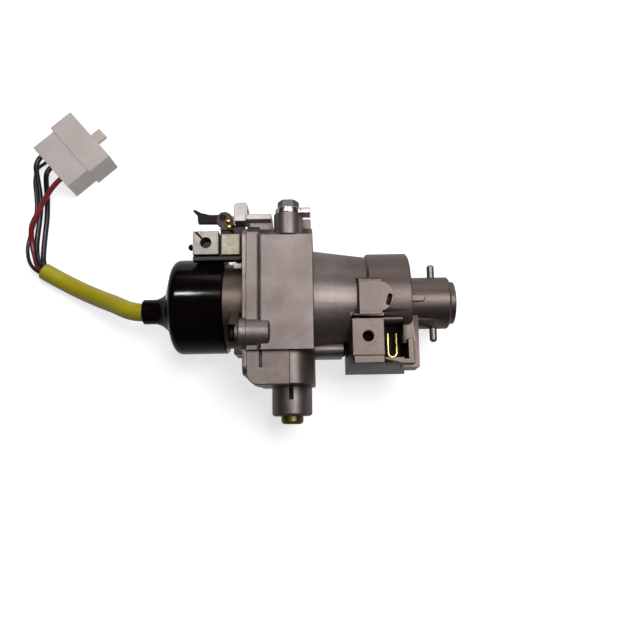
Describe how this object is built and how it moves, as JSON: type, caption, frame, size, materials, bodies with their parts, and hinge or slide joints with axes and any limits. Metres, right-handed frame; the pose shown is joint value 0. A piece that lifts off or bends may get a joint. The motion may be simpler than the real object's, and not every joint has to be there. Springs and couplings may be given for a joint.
{
  "type": "ignition switch",
  "caption": "Vehicle ignition switch with steering lock: cast lock body with key barrel and lock bolt, booted rotary switch, top terminals and a sleeved lead with a nylon connector.",
  "frame": {"origin": "middle of the footprint of the lock and switch without the lead, on the rear rest face", "axes": "+X along the key axis towards the key end, -Y the way the lock bolt comes out, +Z towards the front face"},
  "size_m": [0.2147, 0.1594, 0.0544],
  "materials": {
    "zinc_casting": "satin die-cast zinc alloy",
    "plated_steel": "bright zinc plate",
    "dark_steel": "dull steel",
    "black_steel": "black finish",
    "plug_metal": "nickelled",
    "brass": "plain brass",
    "dark_moulding": "black moulding",
    "brown_phenolic": "brown phenolic",
    "pale_moulding": "mottled beige moulding",
    "boot_rubber": "glossy black rubber",
    "yellow_pvc": "olive yellow sleeve",
    "black_pvc": "black insulation",
    "red_pvc": "dark red insulation",
    "nylon": "off-white nylon"
  },
  "bodies": {
    "housing": {"lock_body": "zinc_casting", "end_plate": "plated_steel", "switch_case": "dark_moulding", "rubber_boot": "boot_rubber", "switch_base": "brown_phenolic", "contact_studs": "brass", "return_spring": "plated_steel", "case_screws": "dark_steel", "shaft_bush": "brass", "bolt_spring": "plated_steel", "nose_pins": "dark_steel", "hex_bolt": "plated_steel", "tab_washer": "plated_steel", "bracket": "plated_steel", "lever_pin": "plated_steel", "lever_cap": "brown_phenolic", "cap_rivets": "brass", "terminal_base": "dark_moulding", "terminal_block": "plated_steel", "terminal_screw": "dark_steel", "contact_block": "pale_moulding", "pocket_insert": "dark_moulding", "pocket_spring": "brass", "yellow_sleeve": "yellow_pvc", "black_wire": "black_pvc", "second_wire": "black_pvc", "red_wire": "red_pvc", "thin_wire": "black_pvc", "connector": "nylon", "connector_terminals": "brass"},
    "key_cylinder": {"key_plug": "plug_metal", "plug_wafers": "brass", "drive_shaft": "dark_steel", "switch_rotor": "pale_moulding", "contact_bridge": "brass"},
    "bolt": {"lock_bolt": "brass"},
    "lever": {"trip_lever": "black_steel"}
  },
  "joints": [
    {"name": "key_turn", "type": "hinge", "parent": "housing", "child": "key_cylinder", "pos_m": [0, 0.0055, 0.0255], "axis": [-1, 0, 0], "range_deg": [0, 120]},
    {"name": "bolt_slide", "type": "slide", "parent": "housing", "child": "bolt", "axis": [0, 1, 0], "range_m": [0, 0.00505], "deforming": ["bolt_spring"]},
    {"name": "lever_turn", "type": "hinge", "parent": "housing", "child": "lever", "pos_m": [-0.0336, 0.0427, 0.04], "axis": [0, 0, 1], "range_deg": [0, 15], "stiffness_Nm_per_rad": 0.05}
  ],
  "couplings": [
    {"joint": "bolt_slide", "follows": "key_turn", "m_per_rad": 0.0024}
  ]
}
